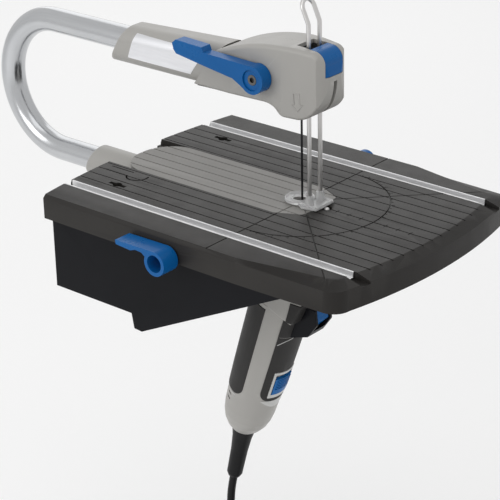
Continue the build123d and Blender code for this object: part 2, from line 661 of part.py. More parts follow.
def make_head():
    solid = head_solid - head_cavity() - button_window
    solid -= block((-8.8, 8.8), (-15.2, -3.4), (100, 130))
    solid -= block((-1.7, 1.7), (-40, -6.0), (55, 92))
    solid -= post(5.4, 50, 70)
    for side in (-1, 1):
        solid -= post(rod_radius + gap, 55, 75, side * rod_half, rod_y)
    solid -= cross_rod(3.0 + running, -25, 0, pivot_y, pivot_z)
    solid -= seat_gaps
    for y, z in head_bosses:
        solid += cross_rod(3.4, -head_half + 1, head_half - 1, y, z) & head_solid
        solid -= case_screw(head_face(y), y, z)
    return solid


def head_face(y):
    """Half width of the head at a distance behind the blade."""
    return head_half - max(0.0, y - 48.0) * 2.6 / 42.0


seat_gaps = block((-12.4, 12.4), (-6.9, 10.4), (seat_low - 2.6, seat_top + 0.2))
head_bosses = ((34.0, 79.0), (64.0, 78.0), (34.0, 101.0))
head = make_head()
for name, side in (("head_left", -1), ("head_right", 1)):
    half = block(sorted((side * split, side * 60.0)), (-60, 200), (20, 160))
    save(name, head & half)

# ---- arm ----
def sleeve_block(grow):
    """The upper sleeve, a rounded section that deepens towards the head."""
    back = Plane.XZ.offset(-170) * (Pos(0, 82.5) * RectangleRounded(28 + grow, 27.7 + grow, 11))
    front = Plane.XZ.offset(-50) * (Pos(0, 85.6) * RectangleRounded(31 + grow, 31.8 + grow, 11))
    return loft([back, front])


sleeve_side = [(85.7, 66), (167.0, 66), (147.0, 100), (57.0, 103.9)]
sleeve = sleeve_block(0) & side_plate(sleeve_side, -30, 30)
label_side = [(145.0, 76.7), (85.5, 76.7), (72.0, 95.0), (138.0, 95.0)]
label = (sleeve_block(0.3) - sleeve_block(-0.6)) & side_plate(label_side, -30, 0)
sleeve -= long_rod(tube_radius, 90, 180, tube_high)
sleeve -= head_solid
save("label_plate", label)
save("arm_sleeve", sleeve - label)
low_sleeve = long_rod(11.7, 150.0, 210.0, tube_low) - long_rod(tube_radius, 140, 220, tube_low)
save("lower_sleeve", low_sleeve & side_plate([(150.05, -40), (206, -40), (186, 5), (150.05, 5)], -20, 20))
strip = side_plate([(80.0, 70.55), (22.0, 71.85), (22.0, 71.0), (80.5, 69.7)], -13.5, 13.5)
save("seam_strip", strip - head_solid)


def make_tube():
    """Two straights joined by a half-round bend."""
    middle = (tube_high + tube_low) / 2
    bend = (tube_high - tube_low) / 2
    low = Line((0, 92.0, tube_low), (0, tube_bend_y, tube_low))
    arc = ThreePointArc((0, tube_bend_y, tube_low), (0, tube_bend_y + bend, middle),
                        (0, tube_bend_y, tube_high))
    high = Line((0, tube_bend_y, tube_high), (0, 96.0, tube_high))
    path = Wire([low, arc, high])
    start = Plane(origin=(0, 92.0, tube_low), z_dir=(0, 1, 0))
    section = start * (Circle(tube_radius) - Circle(tube_radius - tube_wall))
    return sweep(section, path=path)


save("c_tube", make_tube())


# ---- tension lever ----
def make_lever():
    """A blue lever on the left of the head, with a thumb pad at its far end."""
    boss = cross_rod(pivot_boss, -lever_face, -18.4, pivot_y, pivot_z)
    arm = [(pivot_y - 1.0, pivot_z + 9.6), (pivot_y + 42.0, pivot_z + 11.0), (pivot_y + 66.0, pivot_z + 10.8),
           (pivot_y + 68.6, pivot_z + 8.6), (pivot_y + 66.0, pivot_z + 5.6), (pivot_y + 40.0, pivot_z + 1.6),
           (pivot_y + 16.0, pivot_z - 1.8), (pivot_y + 9.0, pivot_z - 5.6), (pivot_y + 6.0, pivot_z - 7.4),
           (pivot_y, pivot_z)]
    lever = boss + side_plate(arm, -lever_face, -20.0)
    pad = [(pivot_y + 41.0, pivot_z + 10.0), (pivot_y + 43.0, pivot_z + 14.4),
           (pivot_y + 66.0, pivot_z + 15.4), (pivot_y + 69.4, pivot_z + 12.6), (pivot_y + 68.0, pivot_z + 8.0)]
    lever += side_plate(pad, -lever_face, -19.0)
    lever -= cross_rod(7.2, -lever_face - 1, -lever_face + 1.2, pivot_y, pivot_z)
    lever -= cross_rod(3.7, -lever_face - 1, -lever_face + 4.2, pivot_y, pivot_z)
    return lever - cross_rod(3.0, -19.0, -18.0, pivot_y, pivot_z) - cross_rod(1.8, -28, -18, pivot_y, pivot_z)


save("tension_lever", make_lever())
bolt = cross_rod(3.6, -lever_face + 1.0, -lever_face + 4.2, pivot_y, pivot_z)
bolt += cross_rod(1.8, -lever_face + 4.0, -19.0, pivot_y, pivot_z)
hex_hole = Location((-lever_face, pivot_y, pivot_z), (0, 90, 0)) * extrude(RegularPolygon(2.0, 6), 3.0)
save("lever_screw", bolt - hex_hole)


# ---- guard wire and foot ----
def make_wire():
    """One bent rod: two legs joined by a loop that leans back."""
    knee, top = 128.0, 137.5
    back = -6.6
    left = FilletPolyline((-rod_half, rod_y, 3.0), (-rod_half, rod_y, knee), (-rod_half, back, top), radius=7)
    right = FilletPolyline((rod_half, back, top), (rod_half, rod_y, knee), (rod_half, rod_y, 3.0), radius=7)
    run = hypot(back - rod_y, top - knee)
    crown = (0, back + rod_half * (back - rod_y) / run, top + rod_half * (top - knee) / run)
    loop = ThreePointArc((-rod_half, back, top), crown, (rod_half, back, top))
    path = Wire(left.edges() + loop.edges() + right.edges())
    return sweep(Plane(origin=(-rod_half, rod_y, 3.0), z_dir=(0, 0, 1)) * Circle(rod_radius), path=path)


save("guard_wire", make_wire())


def make_foot():
    """The clear foot: a ring round the blade and a plate that takes the wire's ends."""
    low = 0.4
    plan = [(-10, -20), (10, -20), (12.5, -9), (8.5, -2), (-8.5, -2), (-12.5, -9)]
    plate = Pos(0, 0, low) * extrude(make_face(Polyline(*plan, close=True)), 1.8)
    ring_part = post(8.0, low, low + 4.6, 0, 2.0) - post(5.2, 0, 10, 0, 2.0)
    foot = plate - post(6.0, 0, 10, 0, 2.0) + ring_part
    for side in (-1, 1):
        foot += post(3.0, low, 8.5, side * rod_half, rod_y)
        foot += block(sorted((side * 7.6, side * 9.2)), (-18.0, -4.0), (low, 4.6))
    foot += block((-9.2, 9.2), (-19.6, -18.0), (low, 4.6))
    for side in (-1, 1):
        foot -= post(rod_radius, 3.0, 20, side * rod_half, rod_y)
    return foot


save("blade_foot", make_foot())

# ---- strain relief, lead and plug ----
run = [strain_end[n] - strain_start[n] for n in range(3)]
relief_length = hypot(*run)
relief_plane = Plane(origin=strain_start, x_dir=(1, 0, 0), z_dir=run)
relief = [(0, 0), (9.2, 0), (9.0, 5), (7.4, 14), (6.4, 27), (5.9, relief_length - 3), (4.6, relief_length),
          (0, relief_length)]
relief_solid = relief_plane.location * spun(relief)
barrel_solid = on_spine(spun(barrel))
save("strain_relief", relief_solid - barrel_solid)

coil_centre = (0, 35.0, -315.0)
first_run = 11.0
lead_points = [strain_end, tuple(strain_end[n] + run[n] * first_run / relief_length for n in range(3)),
               (0, 72.0, -264.0), (0, 72.3, -277.0), (0, 71.9, -290.0),
               (0, 71.2, -303.0), (0, coil_centre[1] + coil_radius, coil_centre[2])]


def bend_radii(points):
    """The largest tangent arc that each corner's two runs allow, with room left over."""
    radii = []
    for a, b, c in zip(points, points[1:], points[2:]):
        u = Vector(*b) - Vector(*a)
        v = Vector(*c) - Vector(*b)
        half_turn = radians(u.get_angle(v)) / 2
        radii.append(0.45 * min(u.length, v.length) / tan(half_turn))
    return radii


def make_lead(points):
    radii = bend_radii(points)
    print("cord radii", [round(r, 1) for r in radii])
    path = FilletPolyline(*points, radius=radii)
    lead = sweep(Plane(origin=path @ 0, z_dir=path % 0) * Circle(cord_radius), path=path)
    print("cord length", round(path.length, 1), "volume ratio",
          round(lead.volume / (pi * cord_radius ** 2 * path.length), 4))
    return lead


def make_coil_ring():
    """The outer shape of the tied turns, a ring in the plane X = 0."""
    inner, outer, bevel = coil_radius - coil_half, coil_radius + coil_half, 3.0
    section = [(inner + bevel, -coil_half), (outer - bevel, -coil_half), (outer, bevel - coil_half),
               (outer, coil_half - bevel), (outer - bevel, coil_half), (inner + bevel, coil_half),
               (inner, coil_half - bevel), (inner, bevel - coil_half)]
    return Location(coil_centre, (0, 90, 0)) * spun(section)


coil_ring = make_coil_ring()
save("cord", make_lead(lead_points) - coil_ring)
save("cord_coil", coil_ring)
side_y = coil_centre[1] + coil_radius
tail_points = [(0, side_y, coil_centre[2] - 14.0), (0, side_y - 0.4, coil_centre[2] - 25.0),
               (0, side_y, coil_centre[2] - 35.0), (0, side_y, coil_centre[2] - 45.0)]
save("cord_tail", make_lead(tail_points) - coil_ring)
band = block((-coil_half - 1.4, coil_half + 1.4), (coil_centre[1] - 6.0, coil_centre[1] + 6.0),
             (coil_centre[2] + coil_radius - coil_half - 1.6, coil_centre[2] + coil_radius + coil_half + 1.4))
save("cord_tie", band - coil_ring)


def make_plug():
    """A moulded two-pin plug that hangs from the end of the lead."""
    y, top = tail_points[-1][1], tail_points[-1][2]
    body = Pos(0, y, top - 12.0) * loft([RectangleRounded(8.0, 9.0, 3.5),
                                        Pos(0, 0, 12.0) * RectangleRounded(7.2, 7.2, 3.4)])
    head_part = Pos(0, y, top - 36.0) * extrude(RectangleRounded(16.0, 24.0, 5.0), 20.0)
    body += head_part + Pos(0, y, top - 16.0) * loft([RectangleRounded(16.0, 24.0, 5.0),
                                                     Pos(0, 0, 4.0) * RectangleRounded(8.0, 9.0, 3.5)])
    for side in (-1, 1):
        middle = y + side * 6.35
        body += block((-0.75, 0.75), (middle - 3.2, middle + 3.2), (top - 53.0, top - 35.0))
    return body


save("plug", make_plug())
screws = [case_screw(case_face(y), y, z) for y, z in case_bosses]
screws += [case_screw(head_face(y), y, z) for y, z in head_bosses]
save("case_screws", *screws)
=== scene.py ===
import bmesh
import bpy
import json
from math import cos, pi, radians, sin, tau
from mathutils import Matrix, Vector
from mathutils.bvhtree import BVHTree


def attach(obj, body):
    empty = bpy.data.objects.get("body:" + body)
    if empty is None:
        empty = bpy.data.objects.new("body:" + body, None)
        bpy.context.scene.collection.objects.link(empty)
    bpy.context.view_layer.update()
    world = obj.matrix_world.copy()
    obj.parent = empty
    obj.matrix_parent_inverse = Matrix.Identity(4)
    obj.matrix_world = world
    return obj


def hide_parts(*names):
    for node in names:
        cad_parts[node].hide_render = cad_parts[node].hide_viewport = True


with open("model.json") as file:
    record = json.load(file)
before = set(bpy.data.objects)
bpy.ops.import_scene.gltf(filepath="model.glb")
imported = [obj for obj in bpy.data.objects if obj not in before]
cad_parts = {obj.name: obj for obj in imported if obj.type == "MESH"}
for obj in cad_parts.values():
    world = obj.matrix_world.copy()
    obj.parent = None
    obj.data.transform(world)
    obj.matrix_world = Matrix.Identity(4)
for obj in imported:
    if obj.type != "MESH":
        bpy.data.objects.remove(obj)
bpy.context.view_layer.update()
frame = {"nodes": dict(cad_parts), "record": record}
nodes = frame["nodes"]
slotOf = {part["node"]: part["material_slot"] for part in frame["record"]["subparts"]}
bodyOf = {node: body for body, held in frame["record"]["behaviour"]["bodies"].items() for node in held}
print("frame loaded,", len(nodes), "nodes")

mm = 0.001
benchCentre = Vector((0, 112, -72))  # origin of the frame, in millimetres about the blade


def about(x, y, z):  # a place given in millimetres about the blade, table top at 0
    return (Vector((x, y, z)) - benchCentre) * mm


# the camera stands left of the table's front corner and looks down over it
shot = {"place": (-0.91036, -0.84676, 0.56553), "lens": 134.53, "nearest": 0.05, "farthest": 20,
        "right": (0.64522, -0.76376, -0.01885), "up": (0.32621, 0.25311, 0.91078),
        "back": (-0.69085, -0.59380, 0.41246)}


def makeCamera():
    camera = bpy.data.objects.new("camera", bpy.data.cameras.new("camera"))
    bpy.context.scene.collection.objects.link(camera)
    turn = Matrix((shot["right"], shot["up"], shot["back"])).transposed()
    camera.matrix_world = Matrix.Translation(shot["place"]) @ turn.to_4x4()
    camera.data.lens = shot["lens"]
    camera.data.clip_start, camera.data.clip_end = shot["nearest"], shot["farthest"]
    bpy.context.scene.camera = camera


# soft air all round, a large lamp behind the saw for the sheen on the table, one above and one to the left
studio = {"floor": -0.352, "floorSize": 12, "floorColour": (0.98, 0.98, 0.98), "floorRough": 0.8,
          "air": (1.0, 1.0, 1.0), "airPower": 0.74,
          "lamps": {"behind": ((1.5, 1.3, 1.0), 1.5, 5), "above": ((-0.5, -0.3, 1.9), 1.3, 4),
                    "left": ((-1.5, 0.5, 0.7), 0.9, 7)}}  # place, size, power


def makeStudio():
    bpy.context.scene.view_settings.view_transform = "Standard"
    world = bpy.data.worlds.new("air")
    bpy.context.scene.world = world
    world.use_nodes = True
    air = world.node_tree.nodes["Background"]
    air.inputs["Color"].default_value = (*studio["air"], 1)
    air.inputs["Strength"].default_value = studio["airPower"]
    for name, (place, size, power) in studio["lamps"].items():
        lamp = bpy.data.objects.new(name, bpy.data.lights.new(name, "AREA"))
        bpy.context.scene.collection.objects.link(lamp)
        lamp.location = place
        lamp.rotation_euler = (-Vector(place)).to_track_quat("-Z", "Y").to_euler()
        lamp.data.size, lamp.data.energy = size, power
    bpy.ops.mesh.primitive_plane_add(size=studio["floorSize"], location=(0, 0, studio["floor"]))
    floor = bpy.context.object
    floor.name = "floor"
    return floor


makeCamera()
floor = makeStudio()
print("camera and studio ready")


class Wire:  # one socket, so that a shader's maths reads as an expression
    def __init__(self, finish, socket):
        self.finish, self.socket = finish, socket

    def maths(self, operation, first, second):
        return self.finish.node("ShaderNodeMath", {"operation": operation}, {0: first, 1: second})

    def __add__(self, other):
        return self.maths("ADD", self, other)

    def __mul__(self, other):
        return self.maths("MULTIPLY", self, other)

    def __sub__(self, other):
        return self.maths("SUBTRACT", self, other)

    def __rsub__(self, other):
        return self.maths("SUBTRACT", other, self)

    __radd__, __rmul__ = __add__, __mul__


class Finish:  # a material under construction
    def __init__(self, name):
        self.material = bpy.data.materials.new(name)
        self.material.use_nodes = True
        self.tree = self.material.node_tree
        self.shader = self.tree.nodes["Principled BSDF"]

    def link(self, socket, value):
        if isinstance(value, Wire):
            self.tree.links.new(value.socket, socket)
        else:
            socket.default_value = value

    def node(self, kind, settings=None, values=None, output=0):
        made = self.tree.nodes.new(kind)
        for key, value in (settings or {}).items():
            setattr(made, key, value)
        for key, value in (values or {}).items():
            self.link(made.inputs[key], value)
        return Wire(self, made.outputs[output])

    def place(self):  # where the point is on the object, in metres
        return self.node("ShaderNodeTexCoord", output="Object")

    def stretched(self, scale):
        return self.node("ShaderNodeVectorMath", {"operation": "MULTIPLY"}, {0: self.place(), 1: scale})

    def noise(self, scale, detail, where=None):
        return self.node("ShaderNodeTexNoise", {},
                         {"Vector": where or self.place(), "Scale": scale, "Detail": detail})

    def grains(self, scale):
        return self.node("ShaderNodeTexVoronoi", {}, {"Vector": self.place(), "Scale": scale})

    def spread(self, value, low, high):  # 0 at the low value, 1 at the high one
        return self.node("ShaderNodeMapRange", {}, {0: value, 1: low, 2: high})

    def blend(self, factor, first, second):  # from the first colour to the second
        return self.node("ShaderNodeMix", {"data_type": "RGBA"},
                         {0: factor, 6: (*first, 1), 7: (*second, 1)}, output=2)

    def bump(self, height, distance, strength):
        self.set("Normal", self.node("ShaderNodeBump", {},
                                     {"Height": height, "Distance": distance, "Strength": strength}))

    def edges(self):  # pointiness, to make outer edges bright: wear where hands and work rub, and a painted highlight
        return self.node("ShaderNodeNewGeometry", output="Pointiness")

    def set(self, name, value):
        self.link(self.shader.inputs[name], (*value, 1) if isinstance(value, tuple) else value)


moulded = {  # colour, paler colour for clouds, wear and a painted highlight on edges, roughness, shine, grains per metre, grain depth in metres
    "housing_grey": ((0.345, 0.336, 0.318), (0.40, 0.39, 0.37), 0.40, 0.40, 2600, 0.00003),
    "insert_grey": ((0.205, 0.199, 0.188), (0.245, 0.238, 0.226), 0.50, 0.30, 2200, 0.00005),
    "table_plastic": ((0.017, 0.0155, 0.0145), (0.030, 0.028, 0.026), 0.44, 0.15, 1900, 0.00008),
    "base_plastic": ((0.0035, 0.0038, 0.0052), (0.008, 0.0085, 0.011), 0.42, 0.09, 2100, 0.00005),
    "blue_plastic": ((0.0015, 0.086, 0.285), (0.006, 0.120, 0.36), 0.31, 0.18, 2600, 0.00002),
    "soft_grip": ((0.024, 0.023, 0.0225), (0.038, 0.037, 0.036), 0.55, 0.22, 3200, 0.00007),
    "bezel_silver": ((0.50, 0.50, 0.49), (0.56, 0.56, 0.55), 0.32, 0.5, 2400, 0.00002),
    "seam_grey": ((0.02, 0.02, 0.02), (0.03, 0.03, 0.03), 0.6, 0.3, 2400, 0.00003),
    "carbon": ((0.03, 0.03, 0.032), (0.05, 0.05, 0.05), 0.7, 0.3, 3000, 0.00005),
    "nylon": ((0.72, 0.70, 0.63), (0.78, 0.76, 0.70), 0.5, 0.45, 1800, 0.00003),
    "pad_rubber": ((0.020, 0.020, 0.020), (0.03, 0.03, 0.03), 0.85, 0.3, 1500, 0.0001),
    "lead_rubber": ((0.006, 0.006, 0.0065), (0.012, 0.012, 0.013), 0.46, 0.18, 2400, 0.00004),
}
wear = {"clouds": 28, "cloudDetail": 4, "cloudShare": 0.35,  # paler clouds all over
        "rubHighlightFrom": 0.515, "rubHighlightTo": 0.60, "rubHighlightShare": 0.65, "rubPolish": 0.06,  # paler, smoother edges: worn, and with a painted highlight on them
        "smears": 90, "smearDetail": 5, "smearRough": 0.16, "grain": 0.55}


def mouldedFinish(name, colour, worn_and_highlit, rough, shine, grain, depth):
    finish = Finish(name)
    cloudy = finish.noise(wear["clouds"], wear["cloudDetail"])
    # edges made paler by pointiness: partly wear, partly a painted highlight
    rubbed_and_highlit = finish.spread(finish.edges(), wear["rubHighlightFrom"], wear["rubHighlightTo"])
    paler = cloudy * wear["cloudShare"] + rubbed_and_highlit * wear["rubHighlightShare"]
    smears = (finish.noise(wear["smears"], wear["smearDetail"]) - 0.5) * wear["smearRough"]
    finish.set("Base Color", finish.blend(paler, colour, worn_and_highlit))
    finish.set("Roughness", rough + smears - rubbed_and_highlit * wear["rubPolish"])
    finish.bump(finish.grains(grain), depth, wear["grain"])
    finish.set("Specular IOR Level", shine)
    return finish.material


metals = {  # colour, darker colour, roughness, stretch of the brushing
    "rail_aluminium": ((0.80, 0.80, 0.80), (0.66, 0.66, 0.67), 0.38, (900.0, 9.0, 900.0)),
    "steel": ((0.74, 0.73, 0.72), (0.58, 0.57, 0.56), 0.36, (420.0, 420.0, 30.0)),
    "blade_steel": ((0.045, 0.045, 0.048), (0.025, 0.025, 0.026), 0.35, (420.0, 420.0, 30.0)),
    "copper": ((0.66, 0.30, 0.16), (0.46, 0.18, 0.09), 0.35, (700.0, 700.0, 60.0)),
    "bronze": ((0.55, 0.38, 0.16), (0.42, 0.28, 0.10), 0.45, (300.0, 300.0, 300.0)),
    "label_foil": ((0.88, 0.88, 0.90), (0.66, 0.67, 0.70), 0.36, (30.0, 60.0, 900.0)),
    "dark_steel": ((0.16, 0.155, 0.15), (0.09, 0.09, 0.09), 0.32, (420.0, 420.0, 30.0)),
}
tubeMetal = ((0.62, 0.63, 0.64), (0.44, 0.45, 0.47), 0.22, (1400.0, 60.0, 60.0))
brushed = {"lineDetail": 4, "lineShare": 0.5, "lineRough": 0.22, "lineDepth": 0.00002, "lineBump": 0.4,
           "stains": 34, "stainDetail": 3, "stainShare": 0.3, "stainRough": 0.08}
drawn = {"lineDetail": 5, "lineShare": 0.45, "lineRough": 0.16, "lineDepth": 0.00002, "lineBump": 0.35,
         "stains": 22, "stainDetail": 4, "stainShare": 0.4, "stainRough": 0.1}


def metalFinish(name, colour, dark, rough, stretch, worked=brushed):  # fine lines and darker stains
    finish = Finish(name)
    lines = finish.noise(1.0, worked["lineDetail"], finish.stretched(stretch))
    stains = finish.noise(worked["stains"], worked["stainDetail"])
    darker = lines * worked["lineShare"] + stains * worked["stainShare"]
    uneven = (lines - 0.5) * worked["lineRough"] + (stains - 0.5) * worked["stainRough"]
    finish.set("Base Color", finish.blend(darker, colour, dark))
    finish.set("Metallic", 1.0)
    finish.set("Roughness", rough + uneven)
    finish.bump(lines, worked["lineDepth"], worked["lineBump"])
    return finish.material


clear = {"milk": 160, "milkDetail": 3, "colour": (0.93, 0.93, 0.93), "thick": (0.84, 0.84, 0.84),
         "rough": 0.12, "milkRough": 0.10, "throughput": 0.62, "bending": 1.49, "depth": 0.00003,
         "bump": 0.15}


def clearFinish():  # clear polycarbonate, a little milky where it is moulded thick
    finish = Finish("clear_plastic")
    milky = finish.noise(clear["milk"], clear["milkDetail"])
    finish.set("Base Color", finish.blend(milky, clear["colour"], clear["thick"]))
    finish.set("Roughness", clear["rough"] + milky * clear["milkRough"])
    finish.set("Transmission Weight", clear["throughput"])
    finish.set("IOR", clear["bending"])
    finish.bump(milky, clear["depth"], clear["bump"])
    return finish.material


def floorFinish():
    finish = Finish("floor")
    finish.set("Base Color", studio["floorColour"])
    finish.set("Roughness", studio["floorRough"])
    return finish.material


finishes = {name: mouldedFinish(name, *values) for name, values in moulded.items()}
finishes.update({name: metalFinish(name, *values) for name, values in metals.items()})
finishes["tube_aluminium"] = metalFinish("tube_aluminium", *tubeMetal, drawn)
finishes["clear_plastic"] = clearFinish()
floor.data.materials.append(floorFinish())
ownFinish = {"lever_screw": "dark_steel", "lever_screw_eased": "dark_steel"}  # blackened, unlike its slot


def finishOf(name, slot):
    return finishes[ownFinish.get(name, slot)]


for name, part in nodes.items():
    part.data.materials.clear()
    part.data.materials.append(finishOf(name, slotOf[name]))
print("finishes mixed,", len(finishes))


def addPiece(name, shape, body, slot):  # the shape is a mesh or a curve
    piece = bpy.data.objects.new(name, shape)
    bpy.context.scene.collection.objects.link(piece)
    if isinstance(shape, bpy.types.Mesh):
        for face in shape.polygons:
            face.use_smooth = True
    shape.materials.append(finishOf(name, slot))
    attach(piece, body)
    return piece


def meshFrom(work, name):
    mesh = bpy.data.meshes.new(name)
    work.to_mesh(mesh)
    work.free()
    return mesh


def roundEdges(piece, width, turn):  # width in metres, for edges that turn by more than so many degrees
    piece.data.set_sharp_from_angle(angle=radians(turn))
    edge = piece.modifiers.new("edge", "BEVEL")
    edge.width, edge.segments = width, 2
    edge.limit_method, edge.angle_limit = "ANGLE", radians(turn)


easing = {  # node: width of the rounded edge in millimetres, and the least turn of an edge that gets it
    "head_left": (0.5, 24), "head_right": (0.5, 24), "arm_sleeve": (0.5, 30), "lower_sleeve": (0.5, 30),
    "tension_lever": (0.8, 30), "nose_button": (0.6, 26), "lock_lever_left": (0.7, 30),
    "lock_lever_right": (0.7, 30), "switch_bezel": (0.35, 30), "power_slide": (0.25, 30),
    "release_lever": (0.5, 30), "release_bracket": (0.5, 30), "strain_relief": (0.4, 30), "plug": (0.5, 30),
    "cord_tie": (0.4, 30), "table_top": (0.35, 30), "base_skirt": (0.4, 30), "guide_rails": (0.2, 30),
    "insert_plate": (0.2, 40), "front_grip": (0.4, 40), "rear_grip": (0.4, 40),
    "lever_screw": (0.2, 35), "index_pin": (0.2, 35)}
sameSpot = 2e-6  # corners this close, in metres, are one corner
sameFlat = 0.6  # faces that turn by less than this many degrees are one face


def ease(node, width, turn):  # a copy of the CAD node whose sharp edges are rounded
    name = node + "_eased"
    work = bmesh.new()
    work.from_mesh(nodes[node].data)
    bmesh.ops.remove_doubles(work, verts=work.verts, dist=sameSpot)
    bmesh.ops.dissolve_limit(work, angle_limit=radians(sameFlat), verts=work.verts, edges=work.edges)
    bmesh.ops.dissolve_degenerate(work, edges=work.edges, dist=sameSpot)
    piece = addPiece(name, meshFrom(work, name), bodyOf[node], slotOf[node])
    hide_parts(node)
    roundEdges(piece, width * mm, turn)
    even = piece.modifiers.new("even", "WEIGHTED_NORMAL")
    even.keep_sharp = True


for node, (width, turn) in easing.items():
    ease(node, width, turn)
print("edges rounded on", len(easing), "pieces")

foot = {"ring": (0, 2),  # all in millimetres, the profiles as (radius, height)
        "wallProfile": [(5.2, 0.4), (10.4, 0.4), (10.7, 1.0), (10.4, 2.6), (9.8, 2.9), (9.3, 2.4),
                        (8.9, 1.5), (6.4, 1.5), (6.0, 2.4), (5.2, 2.2)],
        "bossProfile": [(1.65, 0.6), (3.4, 0.6), (3.1, 4.0), (2.5, 8.3), (1.9, 8.6), (1.65, 8.4)],
        "bosses": [(-5.8, -11.0), (5.8, -11.0)], "steps": 48, "edge": 0.22, "turn": 35,
        "plate": [(-9.0, -3.0), (-12.3, -9.0), (-9.8, -19.8), (9.8, -19.8), (12.3, -9.0), (9.0, -3.0),
                  (5.0, -6.4), (0.0, -7.4), (-5.0, -6.4)],
        "ribs": [((-8.4, -4.4), (-8.8, -18.4)), ((8.4, -4.4), (8.8, -18.4)), ((-9.4, -19.2), (9.4, -19.2))],
        "low": 0.45, "high": 1.65, "ribLow": 0.55, "ribHigh": 2.9, "ribHalf": 0.55}


def lathe(work, profile, x, y, steps):  # a ring about an upright axis, from a closed (radius, height) profile
    rings = []
    for n in range(steps):
        turn = tau * n / steps
        rings.append([work.verts.new(about(x + r * cos(turn), y + r * sin(turn), z)) for r, z in profile])
    for n in range(steps):
        here, after = rings[n], rings[(n + 1) % steps]
        for k in range(len(profile)):
            j = (k + 1) % len(profile)
            work.faces.new((here[k], after[k], after[j], here[j]))


def slab(work, outline, low, high):  # an upright prism
    lows = [work.verts.new(about(x, y, low)) for x, y in outline]
    highs = [work.verts.new(about(x, y, high)) for x, y in outline]
    work.faces.new(lows[::-1])
    work.faces.new(highs)
    for n in range(len(outline)):
        j = (n + 1) % len(outline)
        work.faces.new((lows[n], lows[j], highs[j], highs[n]))


def makeFoot():  # a moulded ring round the blade, with a ribbed plate that holds the wire's ends
    work = bmesh.new()
    lathe(work, foot["wallProfile"], *foot["ring"], foot["steps"])
    for boss in foot["bosses"]:
        lathe(work, foot["bossProfile"], *boss, foot["steps"] // 2)
    slab(work, foot["plate"], foot["low"], foot["high"])
    for (x0, y0), (x1, y1) in foot["ribs"]:
        along = Vector((x1 - x0, y1 - y0)).normalized() * foot["ribHalf"]
        x, y = -along.y, along.x
        slab(work, [(x0 + x, y0 + y), (x1 + x, y1 + y), (x1 - x, y1 - y), (x0 - x, y0 - y)],
             foot["ribLow"], foot["ribHigh"])
    bmesh.ops.recalc_face_normals(work, faces=work.faces)
    piece = addPiece("clear_foot", meshFrom(work, "clear_foot"), bodyOf["blade_foot"], "clear_plastic")
    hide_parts("blade_foot")
    roundEdges(piece, foot["edge"] * mm, foot["turn"])


makeFoot()
print("foot moulded")


def threadOf(name, points, radius, roundness, kind):  # a curve with a round section
    curve = bpy.data.curves.new(name, "CURVE")
    curve.dimensions = "3D"
    curve.bevel_depth, curve.bevel_resolution = radius, roundness
    spline = curve.splines.new(kind)
    spline.points.add(len(points) - 1)
    for knot, place in zip(spline.points, points):
        knot.co = (*place, 1)
    return curve


lead = {"diameter": 0.006, "length": 1.70, "turns": 7, "radius": 36, "centre": (0, 35, -315),
        "pointsPerTurn": 16, "roundness": 5, "smoothness": 6,
        "firstSlide": 0.86, "slideEvery": 0.89, "slideHalf": 0.05,  # in turns of the coil
        "out": [(0, 68.0, -241.0), (0, 70.623, -251.683), (0, 72.0, -264.0), (0, 72.3, -277.0),
                (0, 71.9, -290.0), (0, 71.2, -303.0)],
        "down": [(0, 70.6, -340.0), (0, 71.0, -350.0), (0, 71.0, -360.0)],
        "slots": [(-5.2, -6.0), (-5.2, 0.0), (-5.2, 6.0), (0.0, 3.0), (0.0, -3.0), (5.2, -6.0),
                  (5.2, 0.0), (5.2, 6.0)]}


def coilPoint(angle):  # a wire of the coil lies in one slot, then slides over to the next
    turn = angle / tau
    slot = 0
    share = 0.0
    for step in range(len(lead["slots"]) - 1):
        slid = turn - (lead["firstSlide"] + lead["slideEvery"] * step - lead["slideHalf"])
        if slid > 0:
            slot, share = step, min(1.0, slid / (2 * lead["slideHalf"]))
    (x0, r0), (x1, r1) = lead["slots"][slot], lead["slots"][slot + 1]
    across, out = x0 + (x1 - x0) * share, r0 + (r1 - r0) * share
    radius = lead["radius"] + out
    x, y, z = lead["centre"]
    return about(x + across, y + radius * cos(angle), z - radius * sin(angle))


def makeLead():
    steps = lead["turns"] * lead["pointsPerTurn"]
    turns = [coilPoint(tau * lead["turns"] * n / steps) for n in range(1, steps)]
    points = [about(*p) for p in lead["out"]] + turns + [about(*p) for p in lead["down"]]
    curve = threadOf("mains_lead", points, lead["diameter"] / 2, lead["roundness"], "NURBS")
    curve.resolution_u = lead["smoothness"]
    curve.splines[0].order_u = 3
    curve.splines[0].use_endpoint_u = True
    piece = addPiece("mains_lead", curve, "saw", "lead_rubber")
    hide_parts("cord", "cord_coil", "cord_tail")


makeLead()
print("lead laid")

spine = {"lean": 18.5, "gear": (0, 6.0, -42.0),  # the motor's axis leans back below the gear
         "aside": 0.2, "rayFrom": 0.06}  # rays miss the joint of the halves, and start outside


def onSpine(across, front, along):  # a place beside the motor's axis: to the right, to the front, down
    s, c = sin(radians(spine["lean"])), cos(radians(spine["lean"]))
    x, y, z = spine["gear"]
    return about(x + across, y - c * front + s * along, z - s * front - c * along)


def solidOf(*names):  # the surface of some CAD nodes, to lay trim on
    work = bmesh.new()
    for name in names:
        work.from_mesh(nodes[name].data)
    tree = BVHTree.FromBMesh(work)
    work.free()
    return tree


def onSkin(tree, turn, along):  # the outer skin at an angle from the front, with its outward direction
    centre = onSpine(spine["aside"], 0, along)
    outward = (onSpine(spine["aside"] - sin(turn), cos(turn), along) - centre).normalized()
    return tree.ray_cast(centre + outward * spine["rayFrom"], -outward)[0], outward


patch = {"edge": 0.4, "turn": 40}  # the rounded edge as a share of the height, and its least turn


